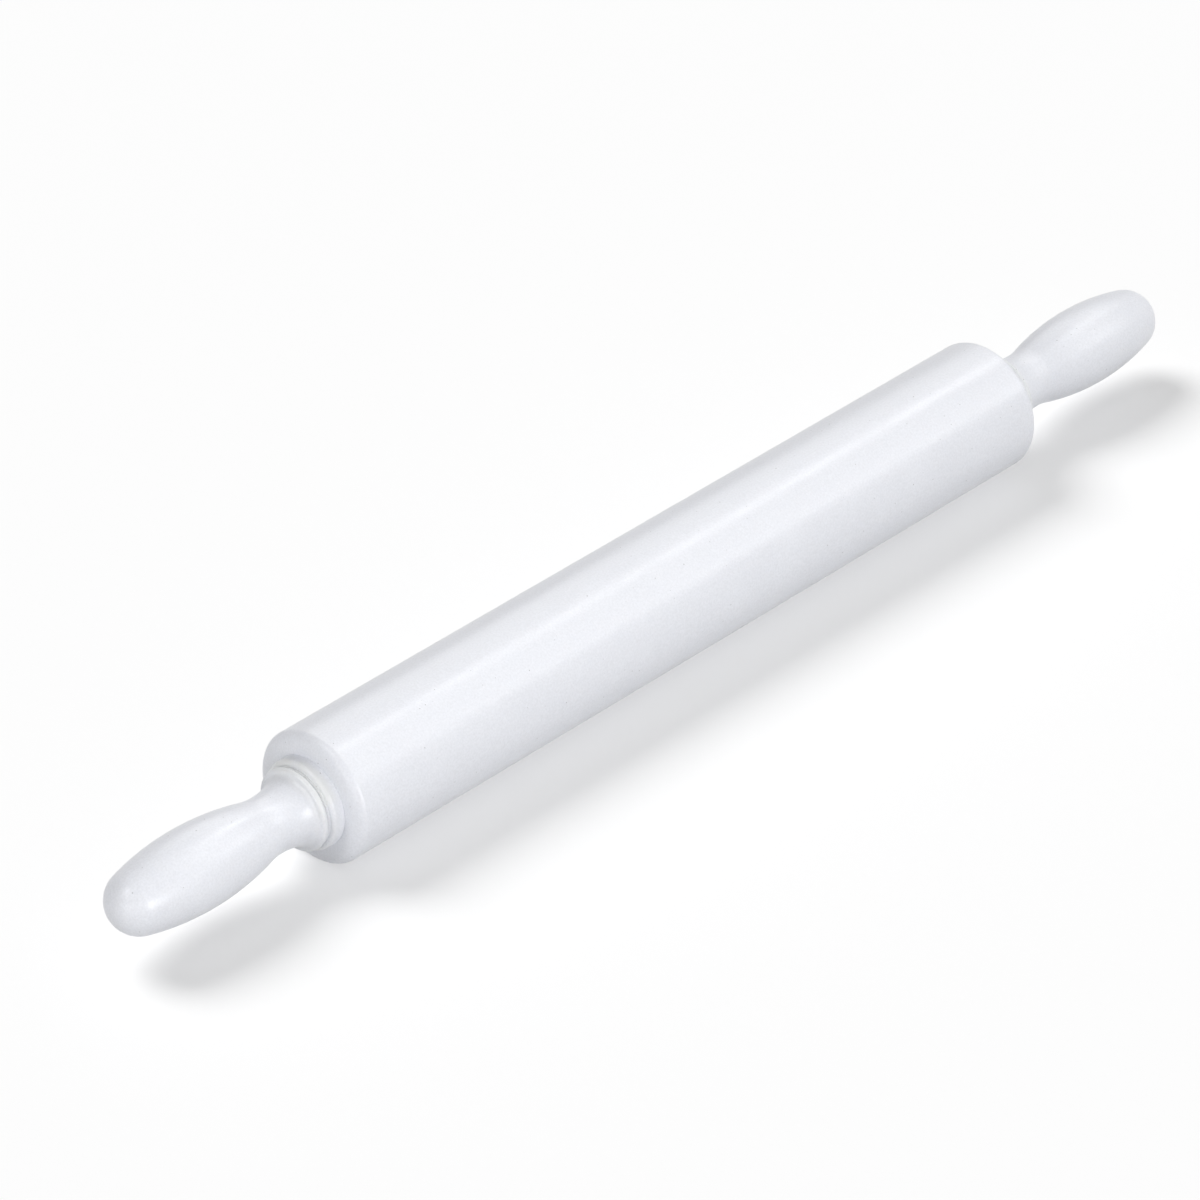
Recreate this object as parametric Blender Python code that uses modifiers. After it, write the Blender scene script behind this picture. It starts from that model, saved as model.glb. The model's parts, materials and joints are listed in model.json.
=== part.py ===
"""A rolling pin turned from white polyethylene.

A hollow barrel spins on two ball bearings around a steel axle. Both handles
are screwed onto the axle's ends, each against a lock nut, so they stay still
in the hands while the barrel rolls.

The pin lies along X. The origin is at mid-length, on the surface it lies on.
Sizes are in metres.
"""

import math

import bmesh
import bpy
from mathutils import Matrix

# Barrel
BARREL_LENGTH = 0.400
BARREL_DIAMETER = 0.056
BARREL_EDGE_RADIUS = 0.0042
BARREL_BORE_DIAMETER = 0.016

# Axle
AXLE_DIAMETER = 0.012
AXLE_END_CHAMFER = 0.001

# Ball bearing, a standard 10 x 26 x 8 size
BEARING_BORE = 0.010
BEARING_OUTER = 0.026
BEARING_WIDTH = 0.008
BEARING_EDGE = 0.0004
BALL_DIAMETER = 0.0047625
BALL_COUNT = 7
RACEWAY_DEPTH = 0.00095
SEAL_THICKNESS = 0.0008
SEAL_SETBACK = 0.00015
SEAL_SEAT_DEPTH = 0.0007
CAGE_WALL = 0.0016
CAGE_WIDTH = 0.0040
CAGE_RIM = 0.0004

# End cap, pressed into the barrel, with the bearing pressed into it
CAP_WALL = 0.0038
CAP_SHOULDER = 0.0020
CAP_HEIGHT = 0.0056
CAP_EDGE_RADIUS = 0.0018
BEARING_SETBACK = 0.003
SPIGOT_LEAD_IN = 0.0008

# Spacer sleeve, lock washer and lock nut on the axle's thread
SLEEVE_WALL = 0.0022
SLEEVE_OVERHANG = 0.0005
WASHER_DIAMETER = 0.0176
WASHER_THICKNESS = 0.0022
WASHER_SLOT = 0.0012
WASHER_SLOT_LEAN = math.radians(20)
NUT_ACROSS_FLATS = 0.016
NUT_THICKNESS = 0.005
NUT_CHAMFER = math.radians(30)

# Threaded insert, moulded into the handle
INSERT_DIAMETER = 0.015
INSERT_LENGTH = 0.032
INSERT_GROOVE_DEPTH = 0.001
INSERT_GROOVE_WIDTH = 0.006
INSERT_END_ROOM = 0.001

# Handle: a flange, a flared neck, a long belly and a round end
HANDLE_LENGTH = 0.0968
HANDLE_GAP = 0.0011
FLANGE_INSET = 0.00145
FLANGE_THICKNESS = 0.003
NECK_DIAMETER = 0.024
NECK_PLACE = 0.0168
GRIP_DIAMETER = 0.0335
GRIP_ARC_RADIUS = 0.133
DOME_RADIUS = 0.0135

# Clearances
SEAT_CLEARANCE = 0.00015
RUNNING_CLEARANCE = 0.0003
BALL_CLEARANCE = 0.00015
SLEEVE_CLEARANCE = 0.0008

# Facets of the round pieces
BARREL_FACETS = 64
OUTER_FACETS = 32
INNER_FACETS = 28
SHARP_ANGLE = math.radians(30)
MERGE_DISTANCE = 0.00001

# Sizes that follow from those above
BARREL_RADIUS = BARREL_DIAMETER / 2
# A facet of the barrel lies on the table, so the axis is this high.
AXIS_HEIGHT = BARREL_RADIUS * math.cos(math.pi / BARREL_FACETS)
PITCH_RADIUS = (BEARING_BORE + BEARING_OUTER) / 4
BALL_RADIUS = BALL_DIAMETER / 2
INNER_LAND = PITCH_RADIUS - BALL_RADIUS + RACEWAY_DEPTH
OUTER_LAND = PITCH_RADIUS + BALL_RADIUS - RACEWAY_DEPTH
BEARING_CENTRE = -BEARING_SETBACK - BEARING_WIDTH / 2
COUNTERBORE_DEPTH = BEARING_SETBACK + BEARING_WIDTH
SPIGOT_RADIUS = BEARING_OUTER / 2 + SEAT_CLEARANCE + CAP_WALL
CAP_RADIUS = SPIGOT_RADIUS + CAP_SHOULDER
JOURNAL_RADIUS = BEARING_BORE / 2
SLEEVE_RADIUS = JOURNAL_RADIUS + SEAT_CLEARANCE + SLEEVE_WALL
SLEEVE_END = CAP_HEIGHT + SLEEVE_OVERHANG
NUT_START = SLEEVE_END + WASHER_THICKNESS
INSERT_START = NUT_START + NUT_THICKNESS
INSERT_END = INSERT_START + INSERT_LENGTH
NUT_CORNER_RADIUS = NUT_ACROSS_FLATS / math.sqrt(3)
HANDLE_START = CAP_HEIGHT + HANDLE_GAP
HANDLE_END = HANDLE_START + HANDLE_LENGTH


def new_collection(name):
    collection = bpy.data.collections.new(name)
    bpy.context.scene.collection.children.link(collection)
    return collection


def new_material(name, colour, roughness, metallic=0.0):
    material = bpy.data.materials.new(name)
    material.use_nodes = True
    material.diffuse_color = (*colour, 1.0)
    shader = material.node_tree.nodes["Principled BSDF"]
    shader.inputs["Base Color"].default_value = (*colour, 1.0)
    shader.inputs["Roughness"].default_value = roughness
    shader.inputs["Metallic"].default_value = metallic
    return material


def new_frame(name, matrix):
    """An empty whose Z runs along the spin axis."""
    frame = bpy.data.objects.new(name, None)
    frame.empty_display_size = BARREL_RADIUS
    frame.matrix_world = matrix
    parts.objects.link(frame)
    return frame


def place(obj, frame, along=0.0, turn=0.0):
    """Puts an object on its frame's axis, this far along it and turned about it."""
    obj.parent = frame
    obj.location = (0.0, 0.0, along)
    obj.rotation_euler = (0.0, 0.0, turn)
    return obj


def arc(centre, radius, start, end, count):
    """Points (radius from the axis, height) on an arc; angle 0 points away from the axis."""
    middle, height = centre
    angles = [start + (end - start) * i / count for i in range(count + 1)]
    return [(middle + radius * math.cos(a), height + radius * math.sin(a)) for a in angles]


def screw_mesh(name, profile, facets, closed):
    """Turns a profile of (radius, height) about Z. Its outer side runs from top to bottom."""
    mesh = bpy.data.meshes.new(name)
    edges = [(i, i + 1) for i in range(len(profile) - 1)]
    if closed:
        edges.append((len(profile) - 1, 0))
    mesh.from_pydata([(r, 0.0, z) for r, z in profile], edges, [])
    blank = bpy.data.objects.new(name, mesh)
    bpy.context.scene.collection.objects.link(blank)
    screw = blank.modifiers.new("Turn", "SCREW")
    screw.steps = facets
    screw.render_steps = facets
    screw.use_merge_vertices = True
    screw.merge_threshold = MERGE_DISTANCE
    graph = bpy.context.evaluated_depsgraph_get()
    turned = bpy.data.meshes.new_from_object(blank.evaluated_get(graph))
    turned.name = name
    bpy.data.objects.remove(blank)
    bpy.data.meshes.remove(mesh)
    turned.shade_smooth()
    turned.set_sharp_from_angle(angle=SHARP_ANGLE)
    return turned


def new_part(name, mesh, material):
    mesh.materials.clear()
    mesh.materials.append(material)
    obj = bpy.data.objects.new(name, mesh)
    parts.objects.link(obj)
    return obj


def new_cutter(name, mesh):
    obj = bpy.data.objects.new(name, mesh)
    obj.hide_render = True
    obj.display_type = "WIRE"
    cutters.objects.link(obj)
    return obj


def cut(obj, cutter, operation="DIFFERENCE"):
    modifier = obj.modifiers.new(cutter.name, "BOOLEAN")
    modifier.operation = operation
    modifier.solver = "EXACT"
    modifier.object = cutter


def turned_part(name, profile, facets, material, closed=True):
    return new_part(name, screw_mesh(name, profile, facets, closed), material)


def tube_profile(inner, outer, bottom, top, edge=0.0):
    """A tube's section, with both outer corners chamfered where an edge is given."""
    if not edge:
        return [(inner, top), (outer, top), (outer, bottom), (inner, bottom)]
    return [
        (inner, top),
        (outer - edge, top),
        (outer, top - edge),
        (outer, bottom + edge),
        (outer - edge, bottom),
        (inner, bottom),
    ]


def barrel_profile():
    end = BARREL_LENGTH / 2
    floor = end - COUNTERBORE_DEPTH
    counterbore = SPIGOT_RADIUS + SEAT_CLEARANCE
    bore = BARREL_BORE_DIAMETER / 2
    shoulder = BARREL_RADIUS - BARREL_EDGE_RADIUS
    edge = end - BARREL_EDGE_RADIUS
    top_edge = arc((shoulder, edge), BARREL_EDGE_RADIUS, math.pi / 2, 0.0, 4)
    bottom_edge = arc((shoulder, -edge), BARREL_EDGE_RADIUS, 0.0, -math.pi / 2, 4)
    inside = [(counterbore, -end), (counterbore, -floor), (bore, -floor)]
    inside += [(bore, floor), (counterbore, floor), (counterbore, end)]
    return top_edge + bottom_edge + inside


def axle_profile():
    shoulder = BARREL_LENGTH / 2 - COUNTERBORE_DEPTH
    end = BARREL_LENGTH / 2 + INSERT_END
    half = [
        (0.0, end),
        (JOURNAL_RADIUS - AXLE_END_CHAMFER, end),
        (JOURNAL_RADIUS, end - AXLE_END_CHAMFER),
        (JOURNAL_RADIUS, shoulder),
        (AXLE_DIAMETER / 2, shoulder),
    ]
    return half + [(r, -z) for r, z in reversed(half)]


def raceway(land, towards_axis):
    """The groove that the balls run in, as points from top to bottom."""
    radius = BALL_RADIUS + BALL_CLEARANCE
    offset = land - PITCH_RADIUS
    mouth = math.asin(math.sqrt(radius**2 - offset**2) / radius)
    if towards_axis:
        return arc((PITCH_RADIUS, 0.0), radius, math.pi - mouth, math.pi + mouth, 4)
    return arc((PITCH_RADIUS, 0.0), radius, -mouth, mouth, 4)


def inner_race_profile():
    bore = JOURNAL_RADIUS + SEAT_CLEARANCE
    half = BEARING_WIDTH / 2
    face = [(bore, half), (INNER_LAND - BEARING_EDGE, half), (INNER_LAND, half - BEARING_EDGE)]
    return face + raceway(INNER_LAND, True) + [(r, -z) for r, z in reversed(face)]


def outer_race_profile():
    outside = BEARING_OUTER / 2
    half = BEARING_WIDTH / 2
    seat = OUTER_LAND + SEAL_SEAT_DEPTH
    seat_floor = half - SEAL_SETBACK - SEAL_THICKNESS - SEAT_CLEARANCE
    outer = [(outside - BEARING_EDGE, half), (outside, half - BEARING_EDGE)]
    outer += [(r, -z) for r, z in reversed(outer)]
    step = [(seat, -half), (seat, -seat_floor), (OUTER_LAND, -seat_floor)]
    return outer + step + raceway(OUTER_LAND, False) + [(r, -z) for r, z in reversed(step)]


def cap_profile():
    mouth = SLEEVE_RADIUS + SLEEVE_CLEARANCE
    seat = BEARING_OUTER / 2 + SEAT_CLEARANCE
    spigot_end = -COUNTERBORE_DEPTH + RUNNING_CLEARANCE
    corner = (CAP_RADIUS - CAP_EDGE_RADIUS, CAP_HEIGHT - CAP_EDGE_RADIUS)
    return [
        (mouth, CAP_HEIGHT),
        *arc(corner, CAP_EDGE_RADIUS, math.pi / 2, 0.0, 4),
        (CAP_RADIUS, 0.0),
        (SPIGOT_RADIUS, 0.0),
        (SPIGOT_RADIUS, spigot_end + SPIGOT_LEAD_IN),
        (SPIGOT_RADIUS - SPIGOT_LEAD_IN, spigot_end),
        (seat, spigot_end),
        (seat, -BEARING_SETBACK),
        (mouth, -BEARING_SETBACK),
    ]


def insert_outline(clearance):
    """The insert's outer side from top to bottom, grown by a clearance for its cavity."""
    outside = INSERT_DIAMETER / 2 + clearance
    groove = outside - INSERT_GROOVE_DEPTH
    middle = (INSERT_START + INSERT_END) / 2
    half = INSERT_GROOVE_WIDTH / 2 - clearance
    return [
        (outside, INSERT_END),
        (outside, middle + half + INSERT_GROOVE_DEPTH),
        (groove, middle + half),
        (groove, middle - half),
        (outside, middle - half - INSERT_GROOVE_DEPTH),
        (outside, INSERT_START),
    ]


def handle_profile():
    """Three arcs that run into each other, then a flare and a rounded flange."""
    belly = GRIP_DIAMETER / 2
    neck = NECK_DIAMETER / 2
    dome_centre = HANDLE_END - DOME_RADIUS
    # The dome lies inside the belly's arc and touches it, which places the belly.
    swell = (belly - DOME_RADIUS) * (2 * GRIP_ARC_RADIUS - DOME_RADIUS - belly)
    widest = dome_centre - math.sqrt(swell)
    neck_height = HANDLE_START + NECK_PLACE
    reach = widest - neck_height
    rise = belly - neck
    # The neck's arc touches the belly's from outside, which gives its radius.
    neck_arc = (reach**2 / rise + rise) / 2 - GRIP_ARC_RADIUS
    dome_turn = math.asin((dome_centre - widest) / (GRIP_ARC_RADIUS - DOME_RADIUS))
    neck_turn = math.asin(reach / (GRIP_ARC_RADIUS + neck_arc))
    belly_centre = (belly - GRIP_ARC_RADIUS, widest)
    neck_centre = (neck + neck_arc, neck_height)
    outline = arc((0.0, dome_centre), DOME_RADIUS, math.pi / 2, dome_turn, 6)
    outline[0] = (0.0, HANDLE_END)
    outline += arc(belly_centre, GRIP_ARC_RADIUS, dome_turn, -neck_turn, 8)[1:]
    outline += arc(neck_centre, neck_arc, math.pi - neck_turn, math.pi, 3)[1:]
    bead = FLANGE_THICKNESS / 2
    bead_centre = (CAP_RADIUS - FLANGE_INSET - bead, HANDLE_START + bead)
    flare_width = bead_centre[0] - neck
    flare_height = neck_height - (HANDLE_START + FLANGE_THICKNESS)
    for step in range(1, 6):
        turn = math.pi / 2 * step / 5
        across = neck + flare_width * (1 - math.cos(turn))
        outline.append((across, neck_height - flare_height * math.sin(turn)))
    outline += arc(bead_centre, bead, math.pi / 2, -math.pi / 2, 5)[1:]
    pocket = NUT_CORNER_RADIUS + SLEEVE_CLEARANCE
    outline += [(pocket, HANDLE_START), (pocket, INSERT_START)]
    outline += reversed(insert_outline(SEAT_CLEARANCE)[1:])
    cavity = INSERT_DIAMETER / 2 + SEAT_CLEARANCE
    outline += [(cavity, INSERT_END + INSERT_END_ROOM), (0.0, INSERT_END + INSERT_END_ROOM)]
    return outline


def make_cage(side, frame):
    """A crown cage: a ring whose pockets are open on the outboard side."""
    bottom = BEARING_CENTRE - BALL_RADIUS - CAGE_RIM
    inner = PITCH_RADIUS - CAGE_WALL / 2
    outer = PITCH_RADIUS + CAGE_WALL / 2
    profile = tube_profile(inner, outer, bottom, bottom + CAGE_WIDTH)
    cage = turned_part(f"{side}_bearing_cage", profile, INNER_FACETS, nylon)
    place(cage, frame)
    pockets = bmesh.new()
    for x, y in ball_places():
        spot = Matrix.Translation((x, y, BEARING_CENTRE))
        bmesh.ops.create_uvsphere(
            pockets, u_segments=10, v_segments=6, radius=BALL_RADIUS + BALL_CLEARANCE, matrix=spot
        )
    mesh = bpy.data.meshes.new(f"{side}_ball_pockets")
    pockets.to_mesh(mesh)
    pockets.free()
    cutter = place(new_cutter(f"{side}_ball_pockets", mesh), frame)
    cut(cage, cutter)


def ball_places():
    turns = [math.tau * i / BALL_COUNT for i in range(BALL_COUNT)]
    return [(PITCH_RADIUS * math.cos(t), PITCH_RADIUS * math.sin(t)) for t in turns]


def ball_mesh():
    shape = bmesh.new()
    bmesh.ops.create_icosphere(shape, subdivisions=2, radius=BALL_RADIUS)
    mesh = bpy.data.meshes.new("ball")
    shape.to_mesh(mesh)
    shape.free()
    mesh.shade_smooth()
    mesh.materials.append(bearing_steel)
    return mesh


def make_bearing(side, frame):
    inner = turned_part(f"{side}_bearing_inner_race", inner_race_profile(), INNER_FACETS, bearing_steel)
    place(inner, frame, BEARING_CENTRE)
    outer = turned_part(f"{side}_bearing_outer_race", outer_race_profile(), INNER_FACETS, bearing_steel)
    place(outer, frame, BEARING_CENTRE)
    make_cage(side, frame)
    mesh = ball_mesh()
    for number, (x, y) in enumerate(ball_places(), 1):
        ball = bpy.data.objects.new(f"{side}_bearing_ball_{number}", mesh)
        parts.objects.link(ball)
        ball.parent = frame
        ball.location = (x, y, BEARING_CENTRE)
    far = BEARING_WIDTH / 2 - SEAL_SETBACK
    section = tube_profile(
        INNER_LAND + RUNNING_CLEARANCE,
        OUTER_LAND + SEAL_SEAT_DEPTH - SEAT_CLEARANCE,
        far - SEAL_THICKNESS,
        far,
    )
    seal = turned_part(f"{side}_bearing_outboard_seal", section, INNER_FACETS, rubber)
    place(seal, frame, BEARING_CENTRE)
    section = [(r, -z) for r, z in reversed(section)]
    seal = turned_part(f"{side}_bearing_inboard_seal", section, INNER_FACETS, rubber)
    place(seal, frame, BEARING_CENTRE)


def make_washer(side, frame):
    """A split spring washer, cut through on one side by a leaning saw cut."""
    bore = JOURNAL_RADIUS + SEAT_CLEARANCE
    section = tube_profile(bore, WASHER_DIAMETER / 2, SLEEVE_END, NUT_START)
    washer = turned_part(f"{side}_lock_washer", section, INNER_FACETS, steel)
    place(washer, frame)
    shape = bmesh.new()
    bmesh.ops.create_cube(shape, size=1.0)
    size = (WASHER_DIAMETER, WASHER_SLOT, 3 * WASHER_THICKNESS)
    lean = Matrix.Rotation(WASHER_SLOT_LEAN, 4, "X")
    spot = Matrix.Translation((WASHER_DIAMETER / 2, 0.0, (SLEEVE_END + NUT_START) / 2))
    bmesh.ops.transform(shape, matrix=spot @ lean @ Matrix.Diagonal((*size, 1.0)), verts=shape.verts)
    mesh = bpy.data.meshes.new(f"{side}_washer_saw_cut")
    shape.to_mesh(mesh)
    shape.free()
    cut(washer, place(new_cutter(mesh.name, mesh), frame))


def make_nut(side, frame):
    """A thin hexagon nut, with its corners turned down on both faces."""
    middle = NUT_START + NUT_THICKNESS / 2
    shape = bmesh.new()
    bmesh.ops.create_cone(
        shape,
        cap_ends=True,
        segments=6,
        radius1=NUT_CORNER_RADIUS,
        radius2=NUT_CORNER_RADIUS,
        depth=NUT_THICKNESS,
        matrix=Matrix.Translation((0.0, 0.0, middle)),
    )
    mesh = bpy.data.meshes.new(f"{side}_lock_nut")
    shape.to_mesh(mesh)
    shape.free()
    nut = place(new_part(mesh.name, mesh, steel), frame)
    flat = NUT_ACROSS_FLATS / 2
    drop = (NUT_CORNER_RADIUS - flat) * math.tan(NUT_CHAMFER)
    spare = NUT_CORNER_RADIUS - flat + RUNNING_CLEARANCE
    turned = [
        (JOURNAL_RADIUS + SEAT_CLEARANCE, NUT_START + NUT_THICKNESS + SLEEVE_OVERHANG),
        (flat, NUT_START + NUT_THICKNESS + SLEEVE_OVERHANG),
        (flat, NUT_START + NUT_THICKNESS),
        (flat + spare, NUT_START + NUT_THICKNESS - drop * spare / (NUT_CORNER_RADIUS - flat)),
        (flat + spare, NUT_START + drop * spare / (NUT_CORNER_RADIUS - flat)),
        (flat, NUT_START),
        (flat, NUT_START - SLEEVE_OVERHANG),
        (JOURNAL_RADIUS + SEAT_CLEARANCE, NUT_START - SLEEVE_OVERHANG),
    ]
    name = f"{side}_nut_turning"
    cut(nut, place(new_cutter(name, screw_mesh(name, turned, INNER_FACETS, True)), frame), "INTERSECT")


def make_end(side, frame):
    """Everything at one end of the pin, built outward from the barrel's end face."""
    place(turned_part(f"{side}_end_cap", cap_profile(), OUTER_FACETS, polyethylene), frame)
    make_bearing(side, frame)
    bore = JOURNAL_RADIUS + SEAT_CLEARANCE
    sleeve = tube_profile(bore, SLEEVE_RADIUS, -BEARING_SETBACK, SLEEVE_END)
    place(turned_part(f"{side}_spacer_sleeve", sleeve, INNER_FACETS, steel), frame)
    make_washer(side, frame)
    make_nut(side, frame)
    insert = [(bore, INSERT_END)] + insert_outline(0.0) + [(bore, INSERT_START)]
    place(turned_part(f"{side}_threaded_insert", insert, INNER_FACETS, brass), frame)
    handle = turned_part(f"{side}_handle", handle_profile(), OUTER_FACETS, polyethylene, closed=False)
    place(handle, frame)


for old in list(bpy.data.objects):
    bpy.data.objects.remove(old, do_unlink=True)

parts = new_collection("rolling_pin")
cutters = new_collection("cutters")

polyethylene = new_material("white_polyethylene", (0.86, 0.87, 0.89), 0.38)
nylon = new_material("cage_nylon", (0.78, 0.74, 0.62), 0.5)
rubber = new_material("seal_rubber", (0.03, 0.03, 0.03), 0.6)
steel = new_material("axle_steel", (0.62, 0.62, 0.63), 0.35, 1.0)
bearing_steel = new_material("bearing_steel", (0.74, 0.74, 0.75), 0.2, 1.0)
brass = new_material("insert_brass", (0.78, 0.58, 0.27), 0.35, 1.0)

on_axis = Matrix.Translation((0.0, 0.0, AXIS_HEIGHT)) @ Matrix.Rotation(math.pi / 2, 4, "Y")
spin_axis = new_frame("spin_axis", on_axis)
half_length = Matrix.Translation((0.0, 0.0, BARREL_LENGTH / 2))
right_end = new_frame("right_end", on_axis @ half_length)
left_end = new_frame("left_end", on_axis @ Matrix.Rotation(math.pi, 4, "X") @ half_length)

barrel = turned_part("barrel", barrel_profile(), BARREL_FACETS, polyethylene)
place(barrel, spin_axis, turn=math.pi / BARREL_FACETS)
axle = turned_part("axle_rod", axle_profile(), INNER_FACETS, steel, closed=False)
place(axle, spin_axis)
make_end("left", left_end)
make_end("right", right_end)
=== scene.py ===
"""Finished look of a baker's rolling pin: a white plastic barrel and handles on a steel axle.

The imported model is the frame. The barrel, the end caps and the handles are made
again as smooth turned pieces around it. The steel, brass, nylon and rubber parts
inside keep their shapes and get their own finishes.

The pin lies along X, on the floor at z = 0. Sizes are in metres.
"""

import json
import math

import bpy
from bpy.props import FloatProperty, FloatVectorProperty, IntProperty, PointerProperty
from mathutils import Matrix, Vector

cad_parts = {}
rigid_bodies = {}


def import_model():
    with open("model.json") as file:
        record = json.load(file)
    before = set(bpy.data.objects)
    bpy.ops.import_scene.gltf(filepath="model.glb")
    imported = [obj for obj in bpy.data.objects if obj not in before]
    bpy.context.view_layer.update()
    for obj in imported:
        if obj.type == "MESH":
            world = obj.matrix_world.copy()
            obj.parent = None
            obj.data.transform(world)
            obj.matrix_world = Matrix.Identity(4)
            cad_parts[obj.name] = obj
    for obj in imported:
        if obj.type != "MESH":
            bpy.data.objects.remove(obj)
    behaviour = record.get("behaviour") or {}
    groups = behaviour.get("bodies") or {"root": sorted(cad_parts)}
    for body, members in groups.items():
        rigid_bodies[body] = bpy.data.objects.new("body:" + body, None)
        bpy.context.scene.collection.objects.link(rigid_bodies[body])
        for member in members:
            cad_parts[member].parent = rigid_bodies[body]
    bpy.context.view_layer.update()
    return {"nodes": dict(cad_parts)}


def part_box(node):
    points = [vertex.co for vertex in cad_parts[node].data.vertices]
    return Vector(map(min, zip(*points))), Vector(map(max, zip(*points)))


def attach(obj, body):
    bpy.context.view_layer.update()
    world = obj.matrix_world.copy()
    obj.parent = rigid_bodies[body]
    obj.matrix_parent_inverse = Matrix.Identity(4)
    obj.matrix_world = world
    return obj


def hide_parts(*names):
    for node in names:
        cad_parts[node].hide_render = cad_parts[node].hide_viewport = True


bl_info = {
    "name": "White Rolling Pin",
    "version": (1, 0, 0),
    "blender": (4, 5, 0),
    "location": "3D View > Sidebar > Rolling Pin",
    "description": "Finishes the turned pieces, the bearings and the stage of a white rolling pin",
    "category": "Object",
}

# Objects that the file already holds, such as the default cube, go first.
for old in list(bpy.data.objects):
    bpy.data.objects.remove(old, do_unlink=True)

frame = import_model()

MM = 0.001
SIDES = ("left", "right")

QUARTER_TURN = math.pi / 2

# The photograph's width in pixels, and the camera sensor's in millimetres
PHOTO_PIXELS = 1200
SENSOR_WIDTH = 36.0

# Steps round the arcs of a turned outline, and the least turn at a corner that is rounded off
ARC_STEP = math.radians(5)
FILLET_STEP = math.radians(15)
LEAST_TURN = FILLET_STEP / 10

# What is left of an arc and is less than this share of a step gets no step of its own.
STEP_SLACK = 0.001

# How close the outer points of a straight lie to its ends, and how far apart its points may be
HOLD = 0.15 * MM
LONGEST_FACE = 20 * MM

# Points of a turned piece that lie closer than this are one point: those at the seam and at a pole
MERGE_DISTANCE = 0.001 * MM

# Roundings of the small edges. The lead-in is at the spigot's inner end, and eases it into the barrel.
FINE_EDGE = 0.1 * MM
SMALL_EDGE = 0.2 * MM
RING_EDGE = 0.25 * MM
SOFT_EDGE = 0.3 * MM
POCKET_EDGE = 0.4 * MM
LEAD_IN = 0.8 * MM

# Balls in each bearing
BALL_COUNT = 7


def extent(name):
    """A node's length, width and height."""
    low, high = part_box(name)
    return high - low


# The axis' height, places along the right half of the pin and the nut's width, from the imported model
AXIS_HEIGHT = sum(corner.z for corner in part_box("axle_rod")) / 2
BARREL_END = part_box("barrel")[1].x
CAP_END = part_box("right_end_cap")[1].x
SPIGOT_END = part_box("right_end_cap")[0].x
BEARING_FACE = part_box("right_bearing_outer_race")[1].x
SEAT_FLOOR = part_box("right_bearing_outer_race")[0].x
HANDLE_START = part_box("right_handle")[0].x
HANDLE_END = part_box("right_handle")[1].x
NUT_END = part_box("right_lock_nut")[1].x
NUT_ACROSS_CORNERS = max(extent("right_lock_nut").yz)
INSERT_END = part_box("right_threaded_insert")[1].x

# The insert's cavity in the handle is this much longer than the insert.
CAVITY_ROOM = 1 * MM

# The finishes of the inner pieces: roughness, how metallic, the marks' spacing and depth, and how much
# the patches differ in colour
GROUND_STEEL = (0.2, 1.0, 0.12 * MM, 0.002 * MM, 0.02)
TURNED_STEEL = (0.34, 1.0, 0.25 * MM, 0.006 * MM, 0.04)
TURNED_BRASS = (0.33, 1.0, 0.25 * MM, 0.006 * MM, 0.05)
MOULDED_NYLON = (0.5, 0.0, 0.6 * MM, 0.01 * MM, 0.05)
MOULDED_RUBBER = (0.62, 0.0, 0.5 * MM, 0.015 * MM, 0.2)

# Patterns in the materials. A noise of scale 100 has features about 10 mm across.
CLOUD_SCALE = 38.0
GRAIN_SCALE = 1200.0
# The next scale sets the patches of painted shade beside the gap at the handle.
GAP_SHADE_SCALE = 60.0
WEAR_SCALE = 55.0
PATCH_SCALE = 160.0
FINE_GRAIN_SCALE = 3200.0
FLOOR_GRAIN_SCALE = 900.0

# The middle range of a noise, where most of its values lie, and a wider one for the inner pieces
NOISE_RANGE = (0.35, 0.65)
WIDE_NOISE_RANGE = (0.3, 0.7)

# The mottle of the plastic: how much of it the fine grain makes, and its darkest and lightest
GRAIN_IN_MOTTLE = 0.75
MOTTLE_SHADES = (0.955, 1.04)

# The plastic's lathe marks, grain and scratches: how far apart, how high and how deep they are
MARK_SPACING = 0.9 * MM
MARK_HEIGHT = 0.012 * MM
GRAIN_HEIGHT = 0.006 * MM
SCRATCH_DEPTH = 0.01 * MM

# How fast lathe marks change across the pin, against how fast they change along it
MARK_WANDER = 0.02

# Hairlines lie where a noise is within this much of its middle value. The first scales make them run
# along the pin, and the second round it. They show in worn patches, which fade in over a range of the
# wear's noise.
HAIRLINE_BAND = 0.012
ALONG_PIN = (18.0, 420.0, 420.0)
ROUND_PIN = (420.0, 14.0, 14.0)
WEAR_RANGE = (0.48, 0.62)

# How much the gloss varies, as factors on the roughness, and what a scratch adds to it
PLASTIC_MATT = (0.95, 1.15)
PLAIN_MATT = (0.8, 1.25)
SCRATCH_MATT = 0.15

# Specks: the scale of their cells, the share of cells that hold one, the least and greatest radius as
# shares of a cell, how much of the specks' colour shows in the middle of one, and the width of its soft
# edge as a share of its radius
SPECK_SCALE = 260.0
SPECK_SHARE = 0.55
SPECK_SIZES = (0.05, 0.1)
SPECK_STRENGTH = 0.65
SPECK_EDGE = 0.4

# The painted shade beside the gap at the handle: a darker, yellowish colour that stands in for the shade
# in the groove. How strong it is at most, and how far from the middle of the gap it begins to fade and
# ends.
# It is patchy, and grows from the least share of its strength to all of it over a range of a noise.
GAP_SHADE_STRENGTH = 0.6
GAP_SHADE_START = 0.6 * MM
GAP_SHADE_END = 8 * MM
GAP_SHADE_RANGE = (0.4, 0.6)
GAP_SHADE_LEAST = 0.3

# Light in the plastic: the refractive index, the share of light that scatters inside, how far it goes
# there in red, green and blue against each other, and how far at most
PLASTIC_IOR = 1.51
SCATTER_SHARE = 0.2
SCATTER_COLOUR = (1.0, 0.95, 0.9)
SCATTER_DEPTH = 3 * MM

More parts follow.
